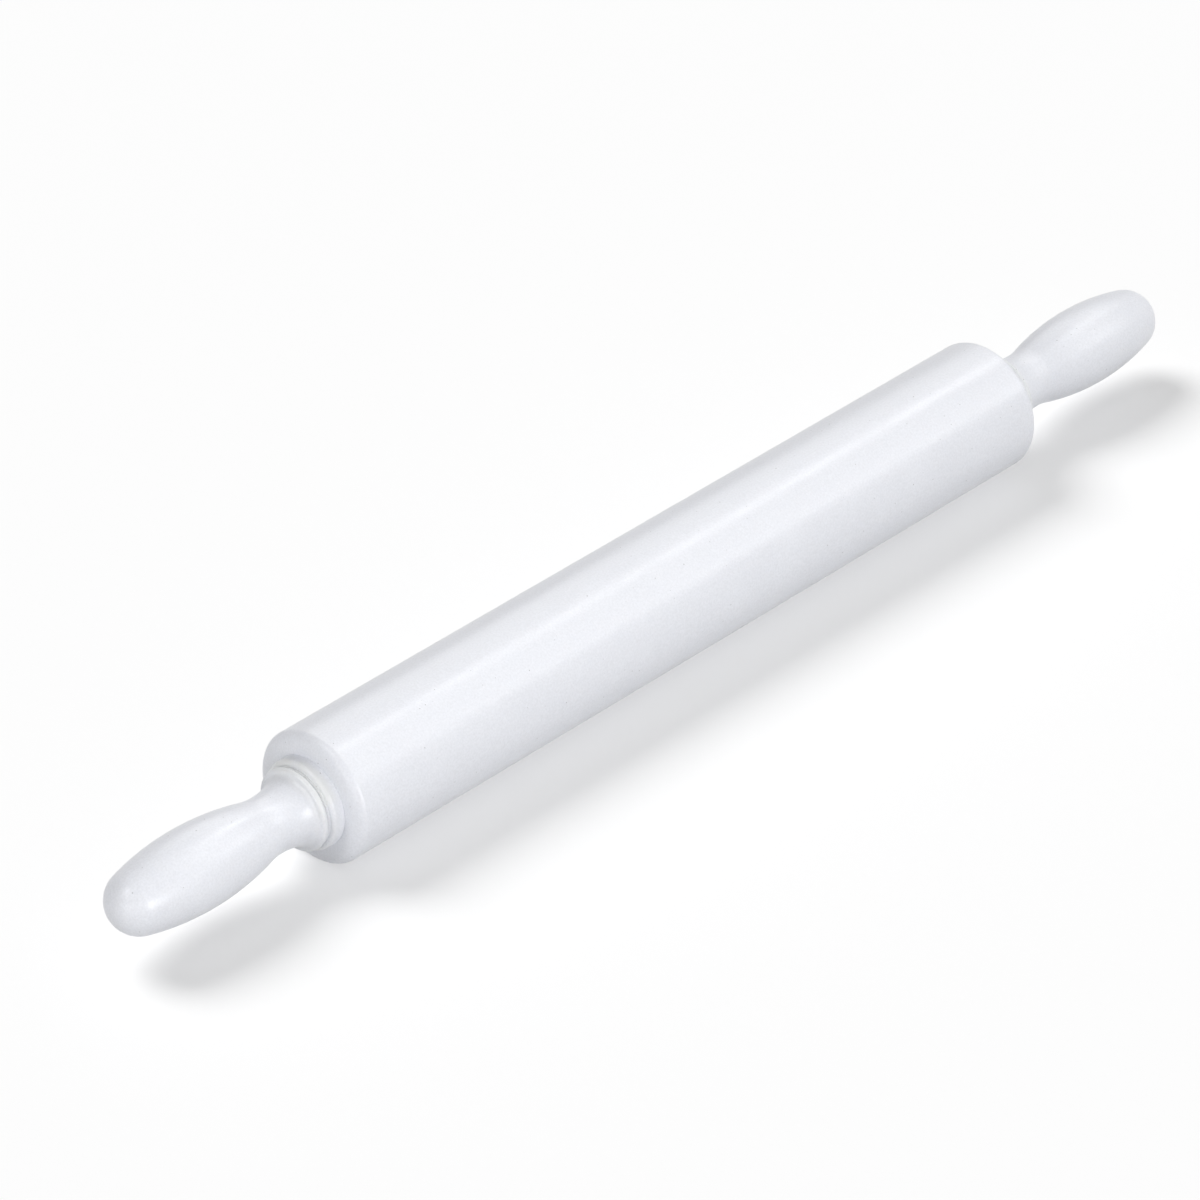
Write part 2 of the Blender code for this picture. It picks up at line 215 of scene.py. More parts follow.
# The soft lamps. Each is a rectangle that faces the pin, given by the ends of its middle line, its width
# and its share of the light. A share of 1 renders white as white on a surface that faces the lamp. The
# two strips show on the plastic as thin lines along it, and the softbox as the paler band between them.
SOFT_LAMPS = {
    "softbox": ((1.92, -2.17, 2.91), (3.14, -1.11, 2.4), 3.0, 0.205),
    "top_strip": ((1.98, -0.3, 3.6), (3.07, 0.61, 2.66), 0.3, 0.12),
    "up_left": ((-1.3, 0.6, 1.2), (-1.3, 0.0, 1.3), 0.8, 0.21),
    "low_strip": ((1.89, -3.09, 1.92), (3.17, -1.99, 1.68), 0.38, 0.04),
    "high": ((1.94, 1.87, 3.1), (3.11, 1.92, 1.87), 3.0, 0.192),
    "left": ((-1.78, 0.1, 0.3), (-1.66, -0.6, 0.3), 0.5, 0.12),
    "low_left": ((-1.5, -0.7, 0.35), (-1.1, -1.2, 0.35), 0.6, 0.06),
    "low_front": ((-0.75, -1.66, 0.45), (0.03, -1.82, 0.45), 0.7, 0.41),
}

# The floor: its width, how matt it is, the height of its grain, and the grain's darkest shade
FLOOR_SIZE = 16.0
FLOOR_ROUGHNESS = 0.9
FLOOR_GRAIN_HEIGHT = 0.01 * MM
FLOOR_DARKEST = 0.998

# The lamp that throws the pin's shadow on the floor: where it stands, and how wide it looks from there
SHADOW_AZIMUTH = math.radians(-165)
SHADOW_ELEVATION = math.radians(53)
SHADOW_WIDTH = math.radians(32)


class TurnedSizes(bpy.types.PropertyGroup):
    """Sizes of the pieces that show."""

    barrel_diameter: FloatProperty(
        name="Barrel Diameter",
        description="Thickness of the barrel",
        default=extent("barrel").z,
        unit="LENGTH",
    )
    barrel_edge: FloatProperty(
        name="Barrel Edge Length",
        description="Length of the rounding between the barrel's side and its end faces, along the pin",
        default=3.8 * MM,
        unit="LENGTH",
    )
    barrel_edge_width: FloatProperty(
        name="Barrel Edge Width",
        description="Width of the same rounding across the end face",
        default=7 * MM,
        unit="LENGTH",
    )
    barrel_bore: FloatProperty(
        name="Barrel Bore",
        description="Diameter of the hole for the axle",
        default=16 * MM,
        unit="LENGTH",
    )
    cap_diameter: FloatProperty(
        name="End Cap Diameter",
        description="Thickness of the ring between the barrel and the handle",
        default=extent("right_end_cap").y,
        unit="LENGTH",
    )
    cap_edge: FloatProperty(
        name="End Cap Edge Radius",
        description="Rounding of the ring's outer edge",
        default=1.8 * MM,
        unit="LENGTH",
    )
    groove_depth: FloatProperty(
        name="Groove Depth",
        description="Depth of the groove beside the handle's flange, down to the end cap's collar",
        default=0.8 * MM,
        unit="LENGTH",
    )
    collar_gap: FloatProperty(
        name="Collar Gap",
        description="Clearance between the end cap's collar and the handle",
        default=0.15 * MM,
        unit="LENGTH",
    )
    spigot_diameter: FloatProperty(
        name="Spigot Diameter",
        description="Thickness of the end cap's part inside the barrel",
        default=33.9 * MM,
        unit="LENGTH",
    )
    flange_diameter: FloatProperty(
        name="Flange Diameter",
        description="Width of the bead at the handle's inner end",
        default=extent("right_handle").y,
        unit="LENGTH",
    )
    flange_thickness: FloatProperty(
        name="Flange Thickness",
        description="Thickness of the bead at the handle's inner end",
        default=3 * MM,
        unit="LENGTH",
    )
    neck_diameter: FloatProperty(
        name="Neck Diameter",
        description="Thickness of the handle at its narrowest",
        default=24 * MM,
        unit="LENGTH",
    )
    neck_place: FloatProperty(
        name="Neck Place",
        description="Distance of the neck from the handle's inner end",
        default=16.8 * MM,
        unit="LENGTH",
    )
    grip_diameter: FloatProperty(
        name="Grip Diameter",
        description="Thickness of the handle's belly",
        default=33.5 * MM,
        unit="LENGTH",
    )
    grip_arc: FloatProperty(
        name="Grip Arc Radius",
        description="Radius of the long curve along the belly",
        default=133 * MM,
        unit="LENGTH",
    )
    dome_radius: FloatProperty(
        name="Dome Radius",
        description="Radius of the handle's round end",
        default=13.5 * MM,
        unit="LENGTH",
    )
    fit: FloatProperty(
        name="Fit",
        description="Clearance all round a piece that sits in another",
        default=0.15 * MM,
        unit="LENGTH",
    )
    opening: FloatProperty(
        name="Opening",
        description="Clearance all round a piece that turns or passes through another",
        default=0.8 * MM,
        unit="LENGTH",
    )
    rib_height: FloatProperty(
        name="Rib Height",
        description="How far the rib in the handle reaches into the insert's groove",
        default=1 * MM,
        unit="LENGTH",
    )
    rib_width: FloatProperty(
        name="Rib Width",
        description="Width of the insert's groove",
        default=6 * MM,
        unit="LENGTH",
    )
    segments: IntProperty(
        name="Segments",
        description="Faces round each turned piece",
        default=160,
        min=12,
    )


class Finishes(bpy.types.PropertyGroup):
    """Colours and gloss of the materials."""

    plastic: FloatVectorProperty(
        name="Polyethylene",
        description="Colour of the barrel, the end caps and the handles",
        default=(0.856, 0.87, 0.92),
        min=0.0,
        max=1.0,
        subtype="COLOR",
    )
    plastic_roughness: FloatProperty(
        name="Polyethylene Roughness",
        description="How matt the turned plastic is",
        default=0.3,
        min=0.0,
        max=1.0,
        subtype="FACTOR",
    )
    speck: FloatVectorProperty(
        name="Specks",
        description="Colour of the small dark specks in the plastic",
        default=(0.4, 0.4, 0.41),
        min=0.0,
        max=1.0,
        subtype="COLOR",
    )
    # Painted shade: the darker, yellowish colour painted beside the gap at the handle, for the shade in
    # the groove.
    painted_gap_shade: FloatVectorProperty(
        name="Joint Tint",
        description="Colour that the plastic takes on beside the gap at the handle",
        default=(0.83, 0.84, 0.81),
        min=0.0,
        max=1.0,
        subtype="COLOR",
    )
    steel: FloatVectorProperty(
        name="Turned Steel",
        description="Colour of the axle, nuts, washers and sleeves",
        default=(0.62, 0.62, 0.63),
        min=0.0,
        max=1.0,
        subtype="COLOR",
    )
    bearing: FloatVectorProperty(
        name="Bearing Steel",
        description="Colour of the races and balls",
        default=(0.74, 0.74, 0.75),
        min=0.0,
        max=1.0,
        subtype="COLOR",
    )
    brass: FloatVectorProperty(
        name="Brass",
        description="Colour of the threaded inserts",
        default=(0.78, 0.58, 0.27),
        min=0.0,
        max=1.0,
        subtype="COLOR",
    )
    nylon: FloatVectorProperty(
        name="Nylon",
        description="Colour of the ball cages",
        default=(0.78, 0.74, 0.62),
        min=0.0,
        max=1.0,
        subtype="COLOR",
    )
    rubber: FloatVectorProperty(
        name="Rubber",
        description="Colour of the bearing seals",
        default=(0.03, 0.03, 0.03),
        min=0.0,
        max=1.0,
        subtype="COLOR",
    )


class Staging(bpy.types.PropertyGroup):
    """Camera, lamps and floor."""

    azimuth: FloatProperty(
        name="Camera Azimuth",
        description="Where the camera stands round the pin, 0 looking along +Y",
        default=math.radians(-47.4),
        subtype="ANGLE",
    )
    elevation: FloatProperty(
        name="Camera Elevation",
        description="How far the camera stands above the horizon",
        default=math.radians(32.5),
        subtype="ANGLE",
    )
    distance: FloatProperty(
        name="Camera Distance",
        description="Depth of the pin's middle in front of the camera",
        default=2.781,
        unit="LENGTH",
    )
    focal_pixels: FloatProperty(
        name="Focal Length",
        description="Focal length in pixels of the photograph",
        default=7000.0,
    )
    middle_pixel: FloatVectorProperty(
        name="Middle of the Pin",
        description="Pixel of the photograph where the pin's middle lies",
        default=(663.2, 592.3),
        size=2,
    )
    room_light: FloatProperty(
        name="Room Light",
        description="Even light from all round, where 1 renders white as white",
        default=0.22,
        min=0.0,
    )
    lamp_light: FloatProperty(
        name="Lamp Light",
        description="Factor on the soft lamps round the pin",
        default=1.0,
        min=0.0,
    )
    shadow_light: FloatProperty(
        name="Shadow Light",
        description="Light of the lamp that throws the pin's shadow, where 1 renders white as white",
        default=0.39,
        min=0.0,
    )
    floor_bounce: FloatProperty(
        name="Floor Bounce",
        description="Share of the floor's colour in the light that it throws back on the pin",
        default=0.4,
        min=0.0,
        max=1.0,
        subtype="FACTOR",
    )
    floor: FloatVectorProperty(
        name="Floor",
        description="Colour of the floor",
        default=(0.98, 0.98, 0.98),
        min=0.0,
        max=1.0,
        subtype="COLOR",
    )


def arc(centre, radius, start, end, step=ARC_STEP):
    """Points (along X, from the axis) on an arc.

    Angle 0 points away from the axis, and a quarter turn points along +X.
    """
    count = max(1, math.ceil(abs(end - start) / step - STEP_SLACK))
    angles = [start + (end - start) * i / count for i in range(count + 1)]
    return [(centre[0] + radius * math.sin(a), centre[1] + radius * math.cos(a)) for a in angles]


def corner_arc(before, corner, after, rounding):
    """One corner of an outline, rounded off."""
    before, corner, after = Vector(before), Vector(corner), Vector(after)
    arriving = (corner - before).normalized()
    leaving = (after - corner).normalized()
    turn = arriving.angle(leaving)
    if not rounding or turn < LEAST_TURN:
        return [corner]
    middle = corner + (leaving - arriving).normalized() * rounding / math.cos(turn / 2)
    spoke = corner - arriving * rounding * math.tan(turn / 2) - middle
    signed = math.copysign(turn, arriving.x * leaving.y - arriving.y * leaving.x)
    count = max(2, math.ceil(turn / FILLET_STEP))
    return [middle + Matrix.Rotation(signed * i / count, 2) @ spoke for i in range(count + 1)]


def straight(start, end):
    """Points between two others. The outer ones lie close to them, so the side between shades flat."""
    span = (end - start).length
    if span < 3 * HOLD:
        return []
    count = max(1, math.ceil(span / LONGEST_FACE))
    places = [HOLD + (span - 2 * HOLD) * i / count for i in range(count + 1)]
    return [start.lerp(end, place / span) for place in places]


def outline(corners, closed=False):
    """Points along an outline, from corners given as (along X, from the axis, rounding)."""
    arcs = []
    for i, (x, r, rounding) in enumerate(corners):
        if not closed and i in (0, len(corners) - 1):
            arcs.append([Vector((x, r))])
            continue
        before, after = corners[i - 1], corners[(i + 1) % len(corners)]
        arcs.append(corner_arc(before[:2], (x, r), after[:2], rounding))
    if closed:
        arcs.append(arcs[0][:1])
    points = list(arcs[0])
    for previous, following in zip(arcs, arcs[1:]):
        points += straight(previous[-1], following[0]) + following
    return [tuple(point) for point in points]


def mirrored(points):
    """The same outline at the pin's other end, still going round the same way."""
    return [(-x, r) for x, r in reversed(points)]


def barrel_outline(sizes):
    """The barrel's wall, with a bore for the axle and a wider seat at each end for the end cap."""
    seat = sizes.spigot_diameter / 2 + sizes.fit
    bore = sizes.barrel_bore / 2
    radius = sizes.barrel_diameter / 2
    face = radius - sizes.barrel_edge_width
    inside = [
        (0.0, bore, 0.0),
        (SEAT_FLOOR, bore, SOFT_EDGE),
        (SEAT_FLOOR, seat, SMALL_EDGE),
        (BARREL_END, seat, SOFT_EDGE),
        (BARREL_END, face, 0.0),
    ]
    half = outline(inside)
    # The end's rounding is a quarter of an ellipse: a round arc, drawn in along the pin.
    stretch = sizes.barrel_edge / sizes.barrel_edge_width
    for x, r in arc((0.0, face), sizes.barrel_edge_width, QUARTER_TURN, 0.0)[1:]:
        half.append((BARREL_END - sizes.barrel_edge + x * stretch, r))
    half += outline([(*half[-1], 0.0), (0.0, radius, 0.0)])[1:]
    return half + mirrored(half)[1:]


def cap_outline(sizes):
    """The end cap: a ring with a low collar outside the barrel, and a spigot inside for the bearing."""
    mouth = extent("right_spacer_sleeve").y / 2 + sizes.opening
    seat = extent("right_bearing_outer_race").y / 2 + sizes.fit
    spigot = sizes.spigot_diameter / 2
    collar = sizes.flange_diameter / 2 - sizes.groove_depth
    collar_end = HANDLE_START - sizes.collar_gap
    corners = [
        (collar_end, mouth, SOFT_EDGE),
        (collar_end, collar, SOFT_EDGE),
        (CAP_END, collar, SMALL_EDGE),
        (CAP_END, sizes.cap_diameter / 2, sizes.cap_edge),
        (BARREL_END, sizes.cap_diameter / 2, RING_EDGE),
        (BARREL_END, spigot, FINE_EDGE),
        (SPIGOT_END, spigot, LEAD_IN),
        (SPIGOT_END, seat, SOFT_EDGE),
        (BEARING_FACE, seat, FINE_EDGE),
        (BEARING_FACE, mouth, SOFT_EDGE),
    ]
    return outline(corners, closed=True)


def grip_curve(sizes):
    """The handle's outer side: dome, belly, neck, flare and flange, each running into the next."""
    belly = sizes.grip_diameter / 2
    neck = sizes.neck_diameter / 2
    dome = sizes.dome_radius
    dome_centre = HANDLE_END - dome
    # The dome lies inside the belly's arc and touches it, which places the belly.
    widest = dome_centre - math.sqrt((belly - dome) * (2 * sizes.grip_arc - dome - belly))
    neck_place = HANDLE_START + sizes.neck_place
    reach = widest - neck_place
    rise = belly - neck
    # The neck's arc touches the belly's from outside, which gives its radius.
    neck_arc = (reach**2 / rise + rise) / 2 - sizes.grip_arc
    dome_turn = math.asin((dome_centre - widest) / (sizes.grip_arc - dome))
    neck_turn = math.asin(reach / (sizes.grip_arc + neck_arc))
    bead = sizes.flange_thickness / 2
    bead_height = sizes.flange_diameter / 2 - bead
    flare_length = sizes.neck_place - sizes.flange_thickness
    curve = [(HANDLE_END, 0.0)]
    curve += arc((dome_centre, 0.0), dome, QUARTER_TURN, dome_turn)[1:]
    # The long, nearly straight arcs take finer steps.
    belly_centre = (widest, belly - sizes.grip_arc)
    curve += arc(belly_centre, sizes.grip_arc, dome_turn, -neck_turn, ARC_STEP / 4)[1:]
    curve += arc((neck_place, neck + neck_arc), neck_arc, math.pi - neck_turn, math.pi, ARC_STEP / 2)[1:]
    # The flare is a quarter of an ellipse, from the neck to the top of the flange's bead.
    steps = round(QUARTER_TURN / ARC_STEP)
    for step in range(1, steps + 1):
        turn = QUARTER_TURN * step / steps
        across = neck + (bead_height - neck) * (1 - math.cos(turn))
        curve.append((neck_place - flare_length * math.sin(turn), across))
    bead_centre = (HANDLE_START + bead, bead_height)
    return curve + arc(bead_centre, bead, QUARTER_TURN, -QUARTER_TURN, FILLET_STEP)[1:]


def handle_outline(sizes):
    """The handle, from its tip round to the nut's pocket and the cavity that holds the insert."""
    curve = grip_curve(sizes)
    pocket = NUT_ACROSS_CORNERS / 2 + sizes.opening
    cavity = extent("right_threaded_insert").y / 2 + sizes.fit
    rib = cavity - sizes.rib_height
    middle = (NUT_END + INSERT_END) / 2
    half_rib = sizes.rib_width / 2 - sizes.fit
    cavity_end = INSERT_END + CAVITY_ROOM
    inside = [
        (*curve[-1], 0.0),
        (HANDLE_START, pocket, POCKET_EDGE),
        (NUT_END, pocket, SOFT_EDGE),
        (NUT_END, cavity, SMALL_EDGE),
        (middle - half_rib - sizes.rib_height, cavity, SMALL_EDGE),
        (middle - half_rib, rib, SMALL_EDGE),
        (middle + half_rib, rib, SMALL_EDGE),
        (middle + half_rib + sizes.rib_height, cavity, SMALL_EDGE),
        (cavity_end, cavity, SMALL_EDGE),
        (cavity_end, 0.0, 0.0),
    ]
    return curve[:-1] + outline(inside)


def add_node(tree, kind, inputs=(), **settings):
    """A new node. Each of its inputs is given a value, or the socket that feeds it."""
    made = tree.nodes.new(kind)
    for name, value in settings.items():
        setattr(made, name, value)
    for name, value in dict(inputs).items():
        if isinstance(value, bpy.types.NodeSocket):
            tree.links.new(value, made.inputs[name])
        else:
            made.inputs[name].default_value = value
    return made


def compute(tree, operation, *operands):
    """A Math node's result."""
    return add_node(tree, "ShaderNodeMath", enumerate(operands), operation=operation).outputs[0]


def lathe_tree():
    """Turns a profile mesh about the pin's axis. A profile point's X is its place and its Z its radius.

    A grid with a column for each profile point and a row for each step round the axis is bent into the
    piece. Its last row meets the first, and the merge closes that seam and the poles.
    """
    tree = bpy.data.node_groups.new("Lathe", "GeometryNodeTree")
    for label, kind in (
        ("Profile", "NodeSocketObject"),
        ("Segments", "NodeSocketInt"),
        ("Axis Height", "NodeSocketFloat"),
        ("Merge Distance", "NodeSocketFloat"),
        ("Finish", "NodeSocketMaterial"),
    ):
        tree.interface.new_socket(label, in_out="INPUT", socket_type=kind)
    tree.interface.new_socket("Geometry", in_out="OUTPUT", socket_type="NodeSocketGeometry")
    given = add_node(tree, "NodeGroupInput").outputs
    profile = add_node(tree, "GeometryNodeObjectInfo", {"Object": given["Profile"]}).outputs["Geometry"]
    size = add_node(tree, "GeometryNodeAttributeDomainSize", {"Geometry": profile}, component="MESH")
    points = size.outputs["Point Count"]
    rows = compute(tree, "ADD", given["Segments"], 1.0)
    sheet = add_node(
        tree,
        "GeometryNodeMeshGrid",
        {"Size X": 1.0, "Size Y": 1.0, "Vertices X": points, "Vertices Y": rows},
    )
    position = add_node(tree, "GeometryNodeInputPosition").outputs[0]
    place = add_node(tree, "ShaderNodeSeparateXYZ", {0: position})
    # The grid is 1 long and 1 wide about its middle, so its columns and rows lie from -0.5 to 0.5.
    last = compute(tree, "SUBTRACT", points, 1.0)
    column = compute(tree, "MULTIPLY", compute(tree, "ADD", place.outputs["X"], 0.5), last)
    turn = compute(tree, "MULTIPLY", compute(tree, "SUBTRACT", 0.5, place.outputs["Y"]), math.tau)
    sample = add_node(
        tree,
        "GeometryNodeSampleIndex",
        {"Geometry": profile, "Index": compute(tree, "ROUND", column)},
        data_type="FLOAT_VECTOR",
        domain="POINT",
    )
    tree.links.new(position, sample.inputs["Value"])
    point = add_node(tree, "ShaderNodeSeparateXYZ", {0: sample.outputs[0]})
    radius = point.outputs["Z"]
    across = compute(tree, "MULTIPLY", radius, compute(tree, "SINE", turn))
    height = compute(tree, "MULTIPLY", radius, compute(tree, "COSINE", turn))
    height = compute(tree, "ADD", height, given["Axis Height"])
    spot = add_node(tree, "ShaderNodeCombineXYZ", {"X": point.outputs["X"], "Y": across, "Z": height})
    moved = add_node(
        tree,
        "GeometryNodeSetPosition",
        {"Geometry": sheet.outputs["Mesh"], "Position": spot.outputs[0]},
    )
    merged = add_node(
        tree,
        "GeometryNodeMergeByDistance",
        {"Geometry": moved.outputs[0], "Distance": given["Merge Distance"]},
    )
    smooth = add_node(tree, "GeometryNodeSetShadeSmooth", {"Geometry": merged.outputs[0]})
    real = add_node(tree, "GeometryNodeRealizeInstances", {"Geometry": smooth.outputs[0]})
    finished = add_node(
        tree,
        "GeometryNodeSetMaterial",
        {"Geometry": real.outputs[0], "Material": given["Finish"]},
    )
    add_node(tree, "NodeGroupOutput", {"Geometry": finished.outputs[0]})
    return tree


def turned_piece(name, points, segments, material):
    """A closed turned piece, made by the Lathe tree and then kept as a plain mesh."""
    scene = bpy.context.scene
    guide_mesh = bpy.data.meshes.new(f"{name}_profile")
    corners = [(x, 0.0, r) for x, r in points]
    edges = [(i, i + 1) for i in range(len(points) - 1)]
    guide_mesh.from_pydata(corners, edges, [])
    guide = bpy.data.objects.new(guide_mesh.name, guide_mesh)
    blank_mesh = bpy.data.meshes.new(f"{name}_blank")
    piece = bpy.data.objects.new(name, blank_mesh)
    scene.collection.objects.link(guide)
    scene.collection.objects.link(piece)
    modifier = piece.modifiers.new("Lathe", "NODES")
    modifier.node_group = bpy.data.node_groups.get("Lathe") or lathe_tree()
    values = {
        "Profile": guide,
        "Segments": segments,
        "Axis Height": AXIS_HEIGHT,
        "Merge Distance": MERGE_DISTANCE,
        "Finish": material,
    }
    for item in modifier.node_group.interface.items_tree:
        if item.in_out == "INPUT":
            modifier[item.identifier] = values[item.name]
    bpy.context.view_layer.update()
    graph = bpy.context.evaluated_depsgraph_get()
    mesh = bpy.data.meshes.new_from_object(piece.evaluated_get(graph))
    if len(mesh.polygons) < segments:
        raise RuntimeError(f"{name} came out empty")
    piece.modifiers.clear()
    piece.data = mesh
    mesh.name = name
    bpy.data.objects.remove(guide)
    bpy.data.meshes.remove(guide_mesh)
    bpy.data.meshes.remove(blank_mesh)
    return piece


def new_material(name, colour, roughness, metallic=0.0):
    """A material with its colour and gloss on the shader's own sockets."""
    material = bpy.data.materials.new(name)
    material.use_nodes = True
    material.diffuse_color = (*colour, 1.0)
    shader = material.node_tree.nodes["Principled BSDF"]
    shader.inputs["Base Color"].default_value = (*colour, 1.0)
    shader.inputs["Roughness"].default_value = roughness
    shader.inputs["Metallic"].default_value = metallic
    return material, material.node_tree, shader


def pin_place(tree):
    """A point's place on the object: as a vector, as its three parts, and its distance from the axis."""
    place = add_node(tree, "ShaderNodeTexCoord").outputs["Object"]
    parts = add_node(tree, "ShaderNodeSeparateXYZ", {0: place}).outputs
    height = compute(tree, "SUBTRACT", parts["Z"], AXIS_HEIGHT)
    across = compute(tree, "MULTIPLY", parts["Y"], parts["Y"])
    radius = compute(tree, "SQRT", compute(tree, "MULTIPLY_ADD", height, height, across))
    return place, parts, radius


def noise(tree, vector, scale, detail=2.0, roughness=0.5):
    """Soft random values round 0.5."""
    return add_node(
        tree,
        "ShaderNodeTexNoise",
        {"Vector": vector, "Scale": scale, "Detail": detail, "Roughness": roughness},
    ).outputs[0]


def remap(tree, value, low, high, to_low, to_high, smooth=False):
    """A value moved from one range to another, and held within it."""
    return add_node(
        tree,
        "ShaderNodeMapRange",
        {0: value, 1: low, 2: high, 3: to_low, 4: to_high},
        interpolation_type="SMOOTHSTEP" if smooth else "LINEAR",
    ).outputs[0]


def blend(tree, factor, first, second):
    """Two colours mixed. Each is a colour or the socket that gives it."""
    made = add_node(tree, "ShaderNodeMix", {0: factor}, data_type="RGBA")
    # The node's sockets 6 and 7 take the colours, and its output 2 gives the mix.
    for slot, colour in {6: first, 7: second}.items():
        if isinstance(colour, bpy.types.NodeSocket):
            tree.links.new(colour, made.inputs[slot])
        else:
            made.inputs[slot].default_value = (*colour, 1.0)
    return made.outputs[2]


def lathe_marks(tree, parts, radius, spacing):
    """Fine rings round the axis, at this spacing. They change a little from one side to the other."""
    wander = compute(tree, "MULTIPLY", parts["Y"], MARK_WANDER)
    vector = add_node(tree, "ShaderNodeCombineXYZ", {0: parts["X"], 1: radius, 2: wander}).outputs[0]
    return noise(tree, vector, 1 / spacing, detail=3.0, roughness=0.6)


def hairlines(tree, place, scales):
    """1 on thin lines, which run in the directions with the small scales, and 0 between them."""
    vector = add_node(tree, "ShaderNodeMapping", {0: place, 3: scales}).outputs[0]
    pattern = noise(tree, vector, 1.0, detail=1.0)
    off_line = compute(tree, "ABSOLUTE", compute(tree, "SUBTRACT", pattern, 0.5))
    return remap(tree, off_line, 0.0, HAIRLINE_BAND, 1.0, 0.0)


def bump(tree, height, depth, before=None):
    """A relief of this depth, on top of the one before it."""
    inputs = {"Height": height, "Distance": depth, "Strength": 1.0}
    if before:
        inputs["Normal"] = before
    return add_node(tree, "ShaderNodeBump", inputs).outputs[0]


def scaled(colour, share):
    """A colour made lighter or darker."""
    return tuple(min(1.0, c * share) for c in colour)


def plain_finish(name, colour, roughness, metallic, spacing, depth, mottle):
    """A turned or moulded surface, with marks, a grain and patches that differ in colour and gloss."""
    material, tree, shader = new_material(name, colour, roughness, metallic)
    place, parts, radius = pin_place(tree)
    marks = lathe_marks(tree, parts, radius, spacing)
    patches = noise(tree, place, PATCH_SCALE, detail=4.0)
    grain = noise(tree, place, FINE_GRAIN_SCALE)
    base = blend(tree, patches, scaled(colour, 1 - mottle), scaled(colour, 1 + mottle))
    tree.links.new(base, shader.inputs["Base Color"])
    worn = compute(tree, "MULTIPLY_ADD", patches, 0.5, compute(tree, "MULTIPLY", marks, 0.5))
    matt = remap(tree, worn, *WIDE_NOISE_RANGE, *(roughness * factor for factor in PLAIN_MATT))
    tree.links.new(matt, shader.inputs["Roughness"])
    normal = bump(tree, grain, depth / 3, bump(tree, marks, depth))
    tree.links.new(normal, shader.inputs["Normal"])
    return material


def polyethylene(finishes):
    """Turned white plastic with a grain, a soft mottle, faint lathe marks, hairlines and specks."""
    if "turned_polyethylene" in bpy.data.materials:
        return bpy.data.materials["turned_polyethylene"]
    colour = tuple(finishes.plastic)
    roughness = finishes.plastic_roughness
    material, tree, shader = new_material("turned_polyethylene", colour, roughness)
    place, parts, radius = pin_place(tree)
    marks = lathe_marks(tree, parts, radius, MARK_SPACING)
    cloud = noise(tree, place, CLOUD_SCALE, detail=4.0)
    grain = noise(tree, place, GRAIN_SCALE)
    fine = compute(tree, "MULTIPLY", grain, GRAIN_IN_MOTTLE)
    mottle = compute(tree, "MULTIPLY_ADD", cloud, 1 - GRAIN_IN_MOTTLE, fine)
    mottle = remap(tree, mottle, *NOISE_RANGE, 0.0, 1.0)
    darkest, lightest = (scaled(colour, share) for share in MOTTLE_SHADES)
    base = blend(tree, mottle, darkest, lightest)

    # Painted shade: the plastic is painted darker and yellowish, in patches, on either side of the gap
    # at the handle, where the groove lies in shade.
    along = compute(tree, "ABSOLUTE", parts["X"])
    off_gap = compute(tree, "ABSOLUTE", compute(tree, "SUBTRACT", along, (CAP_END + HANDLE_START) / 2))
    gap_shade = remap(tree, off_gap, GAP_SHADE_START, GAP_SHADE_END, GAP_SHADE_STRENGTH, 0.0, smooth=True)
    patchy = noise(tree, place, GAP_SHADE_SCALE)
    patches = remap(tree, patchy, *GAP_SHADE_RANGE, GAP_SHADE_LEAST, 1.0, smooth=True)
    base = blend(tree, compute(tree, "MULTIPLY", gap_shade, patches), base, tuple(finishes.painted_gap_shade))

    # Small dark specks in the plastic, each in a cell of its own. The cell's colour is random, and says
    # whether it holds a speck and how big that is.
    cells = add_node(tree, "ShaderNodeTexVoronoi", {"Vector": place, "Scale": SPECK_SCALE}).outputs
    chance = add_node(tree, "ShaderNodeSeparateColor", {0: cells["Color"]}).outputs
    chosen = compute(tree, "LESS_THAN", chance[0], SPECK_SHARE)
    size = remap(tree, chance[1], 0.0, 1.0, *SPECK_SIZES)
    inside = compute(tree, "SUBTRACT", 1.0, compute(tree, "DIVIDE", cells["Distance"], size))
    speck = compute(tree, "MULTIPLY", remap(tree, inside, 0.0, SPECK_EDGE, 0.0, SPECK_STRENGTH), chosen)
    base = blend(tree, speck, base, tuple(finishes.speck))
    tree.links.new(base, shader.inputs["Base Color"])

    # Hairline scratches from use, in worn patches. Some run along the pin and some round it.
    along_pin = hairlines(tree, place, ALONG_PIN)
    round_pin = hairlines(tree, place, ROUND_PIN)
    worn = remap(tree, noise(tree, place, WEAR_SCALE), *WEAR_RANGE, 0.0, 1.0)
    scratches = compute(tree, "MULTIPLY", compute(tree, "MAXIMUM", along_pin, round_pin), worn)
    matt = remap(tree, cloud, *NOISE_RANGE, *(roughness * factor for factor in PLASTIC_MATT))
    matt = compute(tree, "MULTIPLY_ADD", scratches, SCRATCH_MATT, matt)
    tree.links.new(matt, shader.inputs["Roughness"])

    normal = bump(tree, marks, MARK_HEIGHT)
    normal = bump(tree, grain, GRAIN_HEIGHT, normal)
    normal = bump(tree, scratches, -SCRATCH_DEPTH, normal)
    tree.links.new(normal, shader.inputs["Normal"])
    shader.inputs["IOR"].default_value = PLASTIC_IOR
    shader.inputs["Subsurface Weight"].default_value = SCATTER_SHARE
    shader.inputs["Subsurface Radius"].default_value = SCATTER_COLOUR
    shader.inputs["Subsurface Scale"].default_value = SCATTER_DEPTH
    return material


def finish_nodes(names, material):
    """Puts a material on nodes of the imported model, whose shapes stay as they are."""
    for name in names:
        for slot in frame["nodes"][name].material_slots:
            slot.material = material


def both_ends(*names):
    """The names of these nodes at the left end, then at the right."""
    return [f"{side}_{name}" for side in SIDES for name in names]


